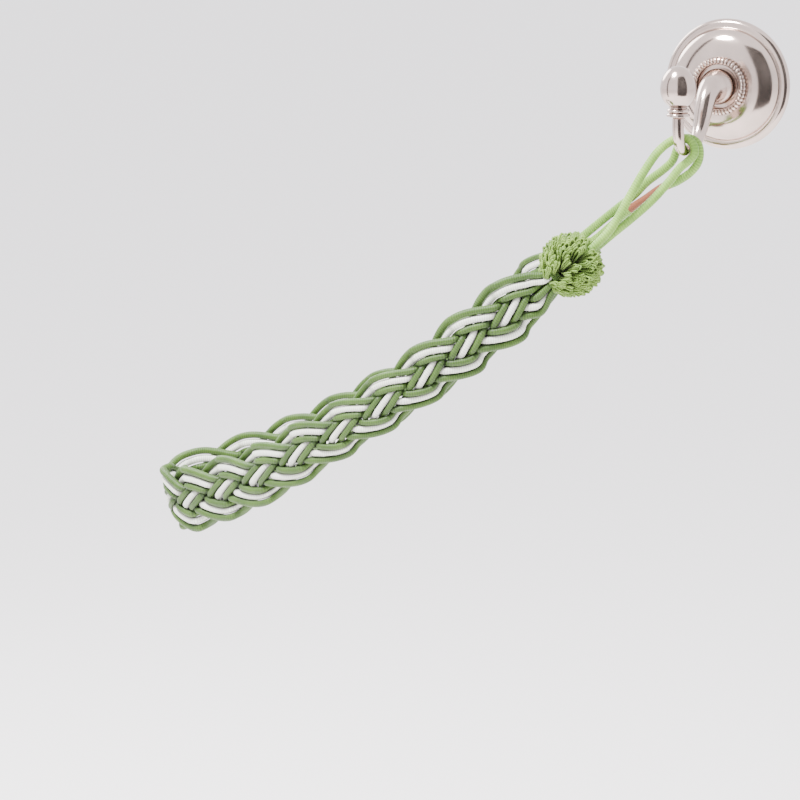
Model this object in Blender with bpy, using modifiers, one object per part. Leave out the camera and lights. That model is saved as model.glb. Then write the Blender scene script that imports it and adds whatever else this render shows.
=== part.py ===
"""Braided curtain tieback hanging on its wall hook, in metres, +Z up.

The origin is the centre of the rosette's flat back, the wall is the plane Y = 0 and the object
stands on its -Y side.  The tieback is a flat braid of four strands, each of three cords laid side
by side, closed into a long loop by two hanger loops of cord over the bottom of the hook.
"""
import math

import bpy
import bmesh
import numpy as np
from mathutils import Matrix, Vector

MM = 0.001

# ---- The band's centre line, from the back neck round the left turn to the front neck (mm) ----
BAND_ROUTE = [
    (-66.0, -45.0, -82.0),
    (-98.0, -35.5, -110.5),
    (-132.0, -29.0, -138.5),
    (-170.0, -27.0, -163.5),
    (-206.0, -29.0, -184.5),
    (-237.0, -33.0, -199.5),
    (-259.0, -38.5, -208.5),
    (-274.0, -47.5, -214.5),
    (-279.5, -60.0, -218.5),
    (-274.0, -73.5, -219.0),
    (-259.0, -83.5, -216.0),
    (-237.0, -93.0, -208.0),
    (-206.0, -108.0, -194.5),
    (-172.0, -120.0, -175.5),
    (-135.0, -125.0, -153.5),
    (-98.0, -117.5, -125.5),
    (-52.0, -95.9, -86.0),
]
LEAN = math.radians(15.0)         # the band's top edge leans out at the left turn
LEAN_REACH = 48.0 * MM            # how far from the turn the lean fades
CURL = 15.0 * MM                  # radius to which the lower half of the band curls back
SLOPE_REACH = 6.0 * MM            # half the stretch over which the band's slope is read
PLAN_REACH = 4.0 * MM             # and its direction seen from above

# ---- The braid: the middle cord's way across the band and through it, its neighbours beside it ----
CORD_D = 2.3 * MM                 # a cord's solid; its wrapped yarn fills out to its neighbours
QUARTER = 27.6 * MM               # length from one edge arc to the next, a quarter of a cord's period
SWING = 10.9 * MM                 # middle cord's swing to each edge
SWING_FLAT = -1.5 * MM            # flattens the middle cord's turn at the edge
SLIDE = 1.58 * MM                 # it crosses the band more steeply by this
SPREAD = 4.15 * MM                # spacing of the three cords in a strand
SPREAD_WAVE = -0.2 * MM           # the spacing opens by this where the strand crosses the middle
RISE = 2.17 * MM                  # how far a cord rises over a crossed strand and sinks under one
RISE_MIDDLE = 0.9                 # the middle cord's share of it
RISE_ZERO = 0.565                 # where a cord changes sides: the cosine of twice its phase
RISE_EASE = 0.045                 # lower for a quicker change
RISE_SHEAR = 0.214                # side cords change this much sooner or later, radians
KEYS = (0.0, 0.343, 0.595, 1.35)  # a cord's curve points in a quarter period, radians

# ---- The gathered necks at both ends of the braid ----
GATHER = 21.0 * MM                # length over which the cords draw together
RUN_ON = 0.3                      # how far they keep their braided direction there
SMALL = 0.001                     # step for reading a cord's direction, radians
NECK = 6.0 * MM                   # straight end held by the binding
NECK_CORD = 0.8                   # cords are squeezed to this share of their size there
NECK_TAPER = (0.92, 0.84, NECK_CORD, NECK_CORD, NECK_CORD, NECK_CORD)
GATHER_STOPS = (0.2, 0.42, 0.66, 0.88, 1.0)   # shares of the gathering length with a curve point
NECK_PITCH = 2.8 * MM             # spacing of the squeezed cords in the neck
BIND_WALL = 1.0 * MM
BIND_LONG = 3.6 * MM
BIND_ROOM = 2.0 * MM              # a binding's width and height beyond the cords' own
BIND_BACK = 0.45                  # share of a binding's length it sits in from the neck's end
BIND_STEPS = 16
SQUARE = 0.55                     # 1 for an oval binding, lower for a squarer one

# ---- Hook, turned about the -Y axis: (radius, height above the wall) in mm ----
ROSETTE = [
    (0.0, 0.0), (31.0, 0.0), (32.5, 1.5), (32.5, 3.4), (31.2, 5.0), (29.0, 5.6), (28.4, 6.2),
    (28.2, 8.0), (26.4, 9.6), (22.0, 11.6), (17.0, 13.4), (15.0, 13.9), (0.0, 13.9),
]
COLLAR = [(10.6, 14.2), (14.0, 14.2), (14.6, 15.4), (14.2, 17.4), (12.6, 18.2), (11.0, 17.4)]
ARM_ROUTE = [
    (-14.2, 0.0, 8.6), (-16.5, 0.0, 8.2), (-19.0, 0.0, 6.4), (-23.0, 0.0, 5.2), (-28.0, -0.8, 4.6),
    (-32.6, -4.0, 4.2), (-36.4, -9.4, 3.9), (-39.4, -15.4, 3.5), (-43.0, -20.8, 3.2),
    (-48.0, -25.0, 3.0), (-54.0, -27.2, 2.8), (-60.0, -27.6, 2.8), (-65.6, -26.6, 2.8),
    (-69.9, -22.8, 2.8), (-71.7, -16.8, 2.8), (-72.0, -10.2, 2.8),
]
FINIAL = [
    (0.0, 0.0), (5.5, 0.0), (5.8, 1.0), (5.2, 1.9), (4.2, 2.2), (5.2, 2.5), (5.6, 3.3), (4.8, 4.2),
    (3.8, 4.6), (6.6, 6.6), (8.6, 10.2), (9.0, 14.0), (8.2, 18.4), (5.8, 22.4), (2.8, 24.4),
    (0.0, 24.9),
]
FINIAL_BASE = (-72.0, -9.9)       # Y and Z of the finial's underside
ROSETTE_STEPS = 36                # flats round each turned piece
RING_STEPS = 30
FINIAL_STEPS = 22

# ---- Hanger loops, over the hook's low rod and down again (mm) ----
LOOP_D = 4.2 * MM
LOOP_STEP = 2                     # curve points between two points of a route
FRONT_LOOP = [
    (-29.6, -88.4, -66.0), (-25.8, -84.4, -58.8), (-21.3, -80.2, -48.4), (-15.9, -75.0, -36.4),
    (-11.0, -69.6, -27.4), (-7.0, -65.8, -23.2), (-3.2, -64.3, -21.2), (1.2, -64.2, -21.0),
    (5.0, -64.2, -23.6), (5.9, -64.3, -28.0), (2.6, -64.4, -32.0), (-1.4, -64.8, -35.4),
    (-6.0, -67.4, -42.0), (-13.6, -72.6, -51.8), (-22.0, -78.6, -60.4), (-28.6, -83.2, -66.6),
]
BACK_LOOP = [
    (-49.4, -48.8, -66.4), (-38.9, -51.4, -58.4), (-29.6, -53.5, -51.4), (-22.3, -55.0, -44.4),
    (-13.0, -56.9, -37.6), (-8.0, -57.9, -33.0), (-5.8, -58.2, -28.0), (-3.8, -58.2, -23.4),
    (0.4, -58.2, -21.4), (4.8, -58.2, -23.6), (6.2, -58.2, -27.8), (5.4, -58.2, -33.0),
    (1.8, -58.2, -37.9), (-5.4, -58.0, -42.9), (-13.8, -56.6, -46.6), (-22.4, -55.0, -52.4),
    (-31.5, -53.2, -58.4), (-39.6, -51.4, -65.0), (-50.2, -48.8, -73.8),
]

# ---- Pompom ----
POM_CENTRE = (-45.6, -93.1, -80.6)
LOOP_EXIT = (0.80, 0.24, 0.56)    # the way the hanger loop leaves the pompom
LOOP_PAIR = 2.35                  # half the distance between a loop's two ends, mm
POM_CORE = 7.4 * MM
POM_R = 16.6 * MM
POM_SEGMENTS = 16
POM_RINGS = 11
POM_BARE_NECK = 0.6               # no lock grows closer to the neck than this cosine
POM_BARE_LOOP = 0.8               # nor closer to the hanger loop
POM_SHORT = 0.88                  # a short lock's share of the radius
POM_FAN = 0.05                    # locks fan away from the neck by this much
POM_SLIT = 0.035                  # slit between two locks at the root, a share of the core
POM_TIP = 1.45                    # a lock's tip against its root
POM_SEED = 7
LOOP_SINK = 1.2                   # gap between the pompom's core and the loop's ends, mm
LOOP_BACK = -0.4 * MM             # the back loop's ends start this far beyond the back neck
END_NEAR = 4.0 * MM               # stretch of the neck that gives a binding its direction
END_FAR = 20.0 * MM

GREEN = (0.262, 0.452, 0.102)
LIGHT_GREEN = (0.330, 0.520, 0.150)
IVORY = (0.800, 0.790, 0.700)
NICKEL = (0.780, 0.690, 0.650)


def clear_scene():
    for thing in list(bpy.data.objects):
        bpy.data.objects.remove(thing, do_unlink=True)


def material(name, colour, roughness, metallic=0.0):
    mat = bpy.data.materials.new(name)
    mat.use_nodes = True
    shader = mat.node_tree.nodes["Principled BSDF"]
    shader.inputs["Base Color"].default_value = (*colour, 1.0)
    shader.inputs["Roughness"].default_value = roughness
    shader.inputs["Metallic"].default_value = metallic
    mat.diffuse_color = (*colour, 1.0)
    return mat


def add(name, data, mat, home):
    obj = bpy.data.objects.new(name, data)
    data.materials.append(mat)
    home.objects.link(obj)
    return obj


def smooth_route(points, per_span=12):
    """Centripetal curve through hand-picked points, sampled finely."""
    pts = np.array(points, float)
    pts = np.vstack([2 * pts[0] - pts[1], pts, 2 * pts[-1] - pts[-2]])
    out = []
    for i in range(1, len(pts) - 2):
        p0, p1, p2, p3 = pts[i - 1:i + 3]
        t1 = np.linalg.norm(p1 - p0) ** 0.5
        t2 = t1 + np.linalg.norm(p2 - p1) ** 0.5
        t3 = t2 + np.linalg.norm(p3 - p2) ** 0.5
        for t in np.linspace(t1, t2, per_span, endpoint=False):
            a1 = (t1 - t) / t1 * p0 + t / t1 * p1
            a2 = (t2 - t) / (t2 - t1) * p1 + (t - t1) / (t2 - t1) * p2
            a3 = (t3 - t) / (t3 - t2) * p2 + (t - t2) / (t3 - t2) * p3
            b1 = (t2 - t) / t2 * a1 + t / t2 * a2
            b2 = (t3 - t) / (t3 - t1) * a2 + (t - t1) / (t3 - t1) * a3
            out.append((t2 - t) / (t2 - t1) * b1 + (t - t1) / (t2 - t1) * b2)
    out.append(pts[-2])
    return np.array(out)


class Band:
    """The flat band wrapped on an upright sheet that follows the route seen from above."""

    def __init__(self, route):
        line = smooth_route(route) * MM
        step = np.diff(line, axis=0)
        flat = np.hypot(step[:, 0], step[:, 1])
        self.h = np.concatenate([[0.0], np.cumsum(flat)])
        self.u = np.concatenate([[0.0], np.cumsum(np.linalg.norm(step, axis=1))])
        self.line = line
        self.length = self.u[-1]
        self.turn = self.h[np.argmin(line[:, 0])]

    def plan(self, h):
        """Point of the sheet seen from above, run on straight past both ends."""
        inside = np.clip(h, 0.0, self.h[-1])
        x = np.interp(inside, self.h, self.line[:, 0])
        y = np.interp(inside, self.h, self.line[:, 1])
        first = self.along(0.0)
        last = self.along(self.h[-1])
        over = np.maximum(h - self.h[-1], 0.0)
        under = np.minimum(h, 0.0)
        return x + over * last[0] + under * first[0], y + over * last[1] + under * first[1]

    def along(self, h):
        """The sheet's direction seen from above."""
        a = np.clip(h - PLAN_REACH, 0.0, self.h[-1])
        b = np.clip(h + PLAN_REACH, 0.0, self.h[-1])
        x = np.interp(b, self.h, self.line[:, 0]) - np.interp(a, self.h, self.line[:, 0])
        y = np.interp(b, self.h, self.line[:, 1]) - np.interp(a, self.h, self.line[:, 1])
        size = np.hypot(x, y)
        return x / size, y / size

    def place(self, u, across, over):
        """World points from the length along, the way across (to the top edge) and over (out)."""
        curl = np.minimum(across, 0.0) / CURL
        across = np.maximum(across, 0.0) + (over + CURL) * np.sin(curl)
        over = (over + CURL) * np.cos(curl) - CURL
        h = np.interp(u, self.u, self.h)
        z = np.interp(u, self.u, self.line[:, 2])
        reach = SLOPE_REACH
        h2 = np.interp(u + reach, self.u, self.h) - np.interp(u - reach, self.u, self.h)
        rise = self.line[:, 2]
        z2 = np.interp(u + reach, self.u, rise) - np.interp(u - reach, self.u, rise)
        slope = np.arctan2(z2, h2)
        past = np.maximum(u - self.length, 0.0) + np.minimum(u, 0.0)
        h = h + past * np.cos(slope) - across * np.sin(slope)
        z = z + past * np.sin(slope) + across * np.cos(slope)
        x, y = self.plan(h)
        tx, ty = self.along(h)
        lean = LEAN * np.exp(-((h - self.turn) / LEAN_REACH) ** 2)
        out = over * np.cos(lean) + across * np.sin(lean)
        return np.stack([x + ty * out, y - tx * out, z - over * np.sin(lean)], 1)


def middle_state(x, turns):
    """The middle cord's way along and across at its phase x; turns is the strand's start."""
    along = (x - turns) * 4 * QUARTER / math.tau - SLIDE * np.sin(2 * x)
    across = SWING * np.sin(x) + SWING_FLAT * np.sin(3 * x)
    return np.stack([along, across], -1)


def braid_state(x, strand, side):
    """Where a cord lies in the band: along, across and over, for the cord at side -1, 0 or 1."""
    turns = strand * math.pi / 2
    way = middle_state(x + SMALL, turns) - middle_state(x - SMALL, turns)
    way = way / np.linalg.norm(way, axis=-1, keepdims=True)
    beside = side * (SPREAD + SPREAD_WAVE * np.cos(2 * x))
    flat = middle_state(x, turns)
    along = flat[..., 0] - way[..., 1] * beside
    across = flat[..., 1] + way[..., 0] * beside
    shifted = x + RISE_SHEAR * side * np.cos(x)
    over = np.cos(shifted) * (np.cos(2 * shifted) - RISE_ZERO)
    over = RISE * over / np.sqrt(over ** 2 + RISE_EASE ** 2)
    if side == 0:
        over = over * RISE_MIDDLE
    return np.stack([along, across, over], -1)


def braid_phases(first, last, strand, side):
    """A cord's phases from the distance first to last along the band, closer where it dips."""
    turns = strand * math.pi / 2
    low = first * math.tau / (4 * QUARTER) + turns
    high = last * math.tau / (4 * QUARTER) + turns
    phases = []
    for half in range(math.floor(low / math.pi) - 1, math.ceil(high / math.pi) + 2):
        for key in (*(-k for k in KEYS[:0:-1]), *KEYS, math.pi / 2):
            y = half * math.pi + key
            x = y - RISE_SHEAR * side * math.cos(y - RISE_SHEAR * side * math.cos(y))
            if low < x < high:
                phases.append(x)
    return np.array([low, *phases, high])


def neck_slots(u_end):
    """Each cord's place in the neck: sorted across into four columns, then by height in each."""
    ends = []
    for strand in range(4):
        for side in (-1, 0, 1):
            x = u_end * math.tau / (4 * QUARTER) + strand * math.pi / 2
            ends.append(((strand, side), braid_state(x, strand, side)))
    ends.sort(key=lambda item: item[1][1])
    slots = {}
    for column in range(4):
        group = sorted(ends[3 * column:3 * column + 3], key=lambda item: item[1][2])
        for row, (cord, _) in enumerate(group):
            slots[cord] = ((column - 1.5) * NECK_PITCH, (row - 1) * NECK_PITCH)
    return slots


def cord_path(band, strand, side, slots_back, slots_front):
    """A cord's whole way: gathered at the back neck, through the braid, gathered at the front."""
    half = band.length / 2
    start = GATHER + NECK
    stop = band.length - GATHER - NECK
    x = braid_phases(start - half, stop - half, strand, side)
    state = braid_state(x, strand, side)
    parts = []
    for i, end, sign, slots in ((0, start, -1, slots_back), (-1, stop, 1, slots_front)):
        here = state[i]
        near = braid_state(x[i] + sign * SMALL, strand, side)
        run = (near - here)[1:] / np.linalg.norm(near - here) * GATHER * RUN_ON
        slot = np.array(slots[(strand, side)])
        rows = []
        for t in GATHER_STOPS:
            h00 = 2 * t ** 3 - 3 * t ** 2 + 1
            h10 = t ** 3 - 2 * t ** 2 + t
            place = h00 * here[1:] + h10 * run + (1 - h00) * slot
            first = here[0] + half
            last = end + sign * GATHER
            rows.append((first + (last - first) * t, *place))
        rows.append((end + sign * (GATHER + NECK), *slot))
        parts.append(np.array(rows))
    state[:, 0] += half
    whole = np.vstack([parts[0][::-1], state, parts[1]])
    size = np.ones(len(whole))
    size[:len(NECK_TAPER)] = NECK_TAPER[::-1]
    size[-len(NECK_TAPER):] = NECK_TAPER
    return band.place(whole[:, 0], whole[:, 1], whole[:, 2]), size


def tube(name, points, sizes, diameter, mat, home, resolution=1):
    curve = bpy.data.curves.new(name, "CURVE")
    curve.dimensions = "3D"
    curve.bevel_depth = diameter / 2
    curve.bevel_resolution = resolution
    curve.use_fill_caps = True
    spline = curve.splines.new("POLY")
    spline.points.add(len(points) - 1)
    for point, place, size in zip(spline.points, points, sizes):
        point.co = (*place, 1.0)
        point.radius = size
    spline.use_smooth = True
    return add(name, curve, mat, home)


def turned(name, profile, mat, home, steps):
    """A turned solid: the profile's (radius, height) pairs in mm, spun about Z."""
    mesh = bpy.data.meshes.new(name)
    points = [(r * MM, 0.0, z * MM) for r, z in reversed(profile)]
    edges = [(i, i + 1) for i in range(len(points) - 1)]
    if profile[0][0] > 0.0:
        edges.append((len(points) - 1, 0))
    mesh.from_pydata(points, edges, [])
    obj = add(name, mesh, mat, home)
    spin = obj.modifiers.new("Spin", "SCREW")
    spin.steps = steps
    spin.render_steps = steps
    spin.use_merge_vertices = True
    spin.merge_threshold = 0.00005
    spin.use_normal_flip = False
    return obj


def sleeve(name, centre, direction, up, width, height, mat, home):
    """A binding: a short squarish tube around the neck's cords."""
    bm = bmesh.new()
    rings = []
    for end in (-0.5, 0.5):
        ring = []
        for i in range(BIND_STEPS):
            a = math.tau * (i + 0.5) / BIND_STEPS
            x = math.copysign(abs(math.cos(a)) ** SQUARE, math.cos(a)) * width / 2
            y = math.copysign(abs(math.sin(a)) ** SQUARE, math.sin(a)) * height / 2
            ring.append(bm.verts.new((x, y, end * BIND_LONG)))
        rings.append(ring)
    for i in range(BIND_STEPS):
        j = (i + 1) % BIND_STEPS
        bm.faces.new((rings[0][i], rings[0][j], rings[1][j], rings[1][i]))
    mesh = bpy.data.meshes.new(name)
    bm.to_mesh(mesh)
    bm.free()
    obj = add(name, mesh, mat, home)
    z = Vector(direction).normalized()
    x = (Vector(up) - Vector(up).project(z)).normalized()
    y = z.cross(x)
    rows = [(x[i], y[i], z[i], centre[i]) for i in range(3)] + [(0.0, 0.0, 0.0, 1.0)]
    obj.matrix_world = Matrix(rows)
    thick = obj.modifiers.new("Wall", "SOLIDIFY")
    thick.thickness = BIND_WALL
    thick.offset = 1.0
    return obj


def hanger_loop(name, first, last, route, mat, home):
    """A cord from one exit over the hook's rod to the other."""
    line = smooth_route([first, *route, last], LOOP_STEP)
    return tube(name, line * MM, np.ones(len(line)), LOOP_D, mat, home, 2)


def pompom(name, centre, axis, loop_axis, mat, home):
    """A core whose faces are drawn out as locks, fanned away from the neck."""
    bm = bmesh.new()
    bmesh.ops.create_uvsphere(bm, u_segments=POM_SEGMENTS, v_segments=POM_RINGS, radius=POM_CORE)
    neck = Vector(axis).normalized()
    turn = neck.to_track_quat("Z", "Y").to_matrix()
    bmesh.ops.rotate(bm, verts=bm.verts, cent=(0.0, 0.0, 0.0), matrix=turn)
    faces = [face for face in bm.faces]
    hole = Vector(loop_axis).normalized()
    rng = np.random.default_rng(POM_SEED)
    for face in faces:
        way = face.calc_center_median().normalized()
        if way.dot(neck) > POM_BARE_NECK or way.dot(hole) > POM_BARE_LOOP:
            continue
        aim = (way - neck * POM_FAN).normalized()
        tip = aim * POM_R * rng.uniform(POM_SHORT, 1.0)
        bmesh.ops.inset_individual(bm, faces=[face], thickness=POM_CORE * POM_SLIT)
        grown = bmesh.ops.extrude_discrete_faces(bm, faces=[face])["faces"][0]
        middle = grown.calc_center_median()
        for vert in grown.verts:
            vert.co = tip + (vert.co - middle) * POM_TIP
    mesh = bpy.data.meshes.new(name)
    bm.to_mesh(mesh)
    bm.free()
    obj = add(name, mesh, mat, home)
    obj.location = centre
    return obj


def build():
    clear_scene()
    home = bpy.data.collections.new("Curtain tieback with wall hook")
    bpy.context.scene.collection.children.link(home)
    green = material("Green cord", GREEN, 0.55)
    ivory = material("Ivory cord", IVORY, 0.5)
    light = material("Pompom yarn", LIGHT_GREEN, 0.7)
    nickel = material("Polished nickel", NICKEL, 0.15, 1.0)
    band = Band(BAND_ROUTE)
    half = band.length / 2
    back = neck_slots(GATHER + NECK - half)
    front = neck_slots(band.length - GATHER - NECK - half)
    for strand in range(4):
        for side, word in ((-1, "lower"), (0, "ivory"), (1, "upper")):
            path, size = cord_path(band, strand, side, back, front)
            mat = ivory if side == 0 else green
            tube(f"braid_cord_{strand + 1}_{word}", path, size, CORD_D, mat, home)

    rosette = turned("hook_rosette", ROSETTE, nickel, home, ROSETTE_STEPS)
    collar = turned("hook_ring", COLLAR, nickel, home, RING_STEPS)
    for obj in (rosette, collar):
        obj.rotation_euler = (math.pi / 2, 0.0, 0.0)
    arm = np.array([(0.0, y, z) for y, z, _ in ARM_ROUTE]) * MM
    tube("hook_arm", arm, [r for _, _, r in ARM_ROUTE], 2 * MM, nickel, home, 2)
    finial = turned("hook_finial", FINIAL, nickel, home, FINIAL_STEPS)
    finial.location = (0.0, FINIAL_BASE[0] * MM, FINIAL_BASE[1] * MM)

    middle = np.zeros(3)
    front_end = band.place(band.length - np.array((END_FAR, END_NEAR, 0.0)), middle, middle)
    back_end = band.place(np.array((END_FAR, END_NEAR, 0.0)), middle, middle)
    wide = 4 * NECK_PITCH + BIND_ROOM
    tall = 3 * NECK_PITCH + BIND_ROOM
    for name, (far, near, tip) in (("front_binding", front_end), ("back_binding", back_end)):
        way = (near - far) / np.linalg.norm(near - far)
        centre = tip - way * BIND_LONG * BIND_BACK
        across = (-way[2], 0.0, way[0])
        sleeve(name, centre, way, across, wide, tall, green, home)

    neck = front_end[0] - front_end[1]
    centre = np.array(POM_CENTRE) * MM
    pompom("pompom", centre, neck, LOOP_EXIT, light, home)
    out = np.array(LOOP_EXIT) / np.linalg.norm(LOOP_EXIT)
    side = np.array((0.0, LOOP_PAIR, 0.0))
    root = np.array(POM_CENTRE) + out * (POM_CORE / MM + LOOP_SINK)
    hanger_loop("front_hanger_loop", root - side, root + side, FRONT_LOOP, green, home)
    ends = band.place(np.full(2, LOOP_BACK), np.array((LOOP_PAIR, -LOOP_PAIR)) * MM, np.zeros(2))
    upper, lower = ends / MM
    hanger_loop("back_hanger_loop", upper, lower, BACK_LOOP, green, home)


build()
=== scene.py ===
"""Braided curtain tieback with a pompom, hanging by two cord loops on a polished wall hook.

Everything is in metres, +Z up; the rosette's flat back lies in the plane Y = 0 and the object on
its -Y side.
"""
import math

import bpy
import numpy as np
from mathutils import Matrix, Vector
from mathutils.kdtree import KDTree


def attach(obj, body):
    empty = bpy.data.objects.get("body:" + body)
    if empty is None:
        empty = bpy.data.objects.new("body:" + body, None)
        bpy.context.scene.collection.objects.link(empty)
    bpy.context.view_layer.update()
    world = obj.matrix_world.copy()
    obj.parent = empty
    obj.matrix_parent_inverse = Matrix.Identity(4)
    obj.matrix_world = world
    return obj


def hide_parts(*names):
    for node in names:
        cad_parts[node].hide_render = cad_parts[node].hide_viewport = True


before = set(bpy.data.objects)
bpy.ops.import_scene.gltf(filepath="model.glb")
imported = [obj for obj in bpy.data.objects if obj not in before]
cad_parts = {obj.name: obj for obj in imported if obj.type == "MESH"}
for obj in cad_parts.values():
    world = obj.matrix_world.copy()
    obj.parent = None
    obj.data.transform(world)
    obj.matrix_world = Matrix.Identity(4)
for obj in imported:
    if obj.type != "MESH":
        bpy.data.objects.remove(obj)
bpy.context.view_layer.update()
MM = 0.001

# ---------------------------------------------------------------- camera
CAMERA_AT = (0.74900, -2.05790, 0.21086)
CAMERA_TURN = math.radians(24.2928)     # bearing of the view's axis
CAMERA_DIP = math.radians(9.6297)       # its angle below the horizon
CAMERA_LENS = 198.0
CAMERA_SENSOR = 36.0
CAMERA_NEAR = 0.05
CAMERA_FAR = 100.0

# ---------------------------------------------------------------- the band
# its centre line from the back neck round the left turn to the front neck, mm
BAND_ROUTE = [
    (-66.0, -45.0, -82.0),
    (-98.0, -35.5, -110.5),
    (-132.0, -29.0, -138.5),
    (-170.0, -27.0, -163.5),
    (-206.0, -29.0, -184.5),
    (-237.0, -33.0, -199.5),
    (-259.0, -38.5, -208.5),
    (-274.0, -47.5, -214.5),
    (-279.5, -60.0, -218.5),
    (-274.0, -73.5, -219.0),
    (-259.0, -83.5, -216.0),
    (-237.0, -93.0, -208.0),
    (-206.0, -108.0, -194.5),
    (-172.0, -120.0, -175.5),
    (-135.0, -125.0, -153.5),
    (-98.0, -117.5, -125.5),
    (-52.0, -95.9, -86.0),
]
LEAN = math.radians(15.0)         # the band's top edge leans out at the left turn
LEAN_REACH = 48.0 * MM            # how far from the turn the lean fades
# radius to which the lower half of the band curls back: (distance along the band, radius), mm
CURL = [
    (0.0, 15.0), (240.0, 20.0), (290.0, 60.0), (330.0, 60.0), (370.0, 26.0), (417.0, 14.0),
    (470.0, 15.0), (510.0, 22.0), (560.0, 22.0),
]
# how wide the braid and its cords are against the width below: (distance along the band, share)
SHARE = [
    (0.0, 0.86), (150.0, 0.94), (240.0, 1.0), (285.0, 1.10), (330.0, 1.05), (365.0, 0.99),
    (417.0, 0.89), (445.0, 0.87), (480.0, 0.93), (510.0, 1.02), (560.0, 1.02),
]
SLOPE_REACH = 6.0 * MM            # half the stretch over which the band's slope is read
PLAN_REACH = 4.0 * MM             # and its direction seen from above
QUARTER = 27.6 * MM               # length from one edge arc to the next
SWING = 9.2 * MM                  # middle cord's swing to each edge
SWING_FLAT = -1.3 * MM            # flattens its turn at the edge
SLIDE = 1.43 * MM                 # it crosses the band more steeply by this
SPREAD = 3.8 * MM                 # spacing of the three cords in a strand
SPREAD_WAVE = -0.15 * MM          # the spacing opens by this where the strand crosses the middle
RISE = 2.2 * MM                   # how far a cord rises over a crossed strand
RISE_MIDDLE = 0.95                # the middle cord's share of it
RISE_ZERO = 0.585                 # where a cord changes sides: the cosine of twice its phase
RISE_EASE = 0.074                 # lower for a quicker change
RISE_SHEAR = 0.28                 # side cords change this much sooner or later, radians
TUCK = 1.3 * MM                   # how far the middle cord sinks behind its neighbours at the
TUCK_CLOSE = 0.22                 # lower edge, where the strand rolls, and how they close on it
TUCK_AT = 120.0 * MM              # the stretch where it does, from the band's middle
TUCK_REACH = 90.0 * MM
GATHER = 11.0 * MM                # length over which the cords draw together at each end
# the braid's regular pitch drifts: (distance along the band, how far the pattern runs ahead), mm
DRIFT = [
    (0.0, 0.0), (250.0, 0.0), (280.0, 0.0), (307.0, -6.0), (335.0, -4.5), (362.0, -1.0),
    (390.0, 3.2), (417.0, 5.4), (445.0, 5.8), (472.0, 5.6), (500.0, 2.5), (530.0, 1.0), (560.0, 0.0),
]
SOFT_STEPS = np.linspace(-14.0, 14.0, 9) * MM     # the lists' values are averaged over these
SMALL = 0.001                     # step for reading a cord's direction, radians
RUN_ON = 0.3                      # how far a cord keeps its braided direction in the gathering
NECK = 6.0 * MM                   # straight end held by the binding
NECK_PITCH = 2.8 * MM             # spacing of the cords in the neck
GATHER_STOPS = np.linspace(0.04, 1.0, 25)         # shares of the gathering with a line point
NECK_STOPS = np.linspace(0.15, 1.0, 7)            # shares of the neck with one
LINE_STEP = 0.8 * MM              # spacing of the line points between the gatherings
LINE_EASE = 26                    # rounds that take small kinks out of a cord's line

# ---------------------------------------------------------------- wrapped cords
CORD_R = 1.84 * MM                # full radius where nothing presses on the cord
NECK_R = 1.72 * MM                # radius where it is drawn into the neck
FULL_FROM, FULL_SLOPE = -0.15, 1.25    # how the radius grows from the neck to the full one
CORD_SIDES = 16
RING = 0.36 * MM                  # spacing of a cord's rings
COARSE = 3                        # every third ring is pressed against its neighbours
PRESS_GAP = 0.13 * MM             # half the gap left between two pressed cords
PRESS_SEEK = 2.6                  # cords within this many radii are looked at
PRESS_LEAST = 0.45                # a pressed side keeps at least this share of the radius
PAINTED_SHADE_REACH = 1.36               # a side gets painted shade where another cord is within this many radii
PRESS_SOFT = 9.0                  # how sharply a pressed side turns into the round one
PRESS_EASE = 4                    # rounds that even out the pressed sides
WRAP_PITCH = 1.12                 # length of one turn of the wrapping yarn, mm
WRAP_DEPTH = 0.026                # its ridge, a share of the radius
IVORY_WRAP_DEPTH = 0.004
WRAP_SWELL = 0.012                # slow unevenness of the wrapping
SWELL_STEP = 0.25                 # its length, cm
RIDGE_LEAST = 0.25                # the weakest stretches keep this share of the ridge
PAINTED_CREASE_SHADE = 0.90                     # how strong the painted shade on a pressed side is, deepest between two cords

# ---------------------------------------------------------------- bindings
BIND_TURNS = 5
BIND_STEPS = 44                   # points in one turn
BIND_RING = 0.4 * MM
BIND_PLY = (1.6, 0.05, 2, 3)      # its thread's twist in mm, ridge depth, plies and seed
BIND_SIDES = 8
BIND_EASE = 4
BIND_BACK = 0.45                  # share of its length that it sits in from the neck's end
NECK_PROBES = np.array((20.0, 4.0, 0.0)) * MM     # where the neck's direction and tip are read
BIND_THREAD = 0.52 * MM           # thread radius
BIND_LONG = 3.9 * MM
BIND_WIDE = 13.6 * MM
BIND_TALL = 10.8 * MM
SQUARE = 0.62                     # 1 for an oval binding, lower for a squarer one

# ---------------------------------------------------------------- hanger loops
LOOP_D = 4.2 * MM
LOOP_PAIR = 2.35                  # half the distance between a loop's two ends, mm
LOOP_EXIT = (0.80, 0.24, 0.56)    # the way the front loop leaves the pompom
LOOP_SINK = 8.6                   # from the pompom's centre to the front loop's ends, mm
LOOP_BACK = -0.4 * MM             # the back loop's ends start this far beyond the back neck
LOOP_SPAN = 14                    # line points between two points of a route
LOOP_RING = 0.40 * MM
LOOP_SIDES = 14
LOOP_PITCH = 1.3                  # one turn of its wrapping, mm
LOOP_DEPTH = 0.006
LOOP_EASE = 6
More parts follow.
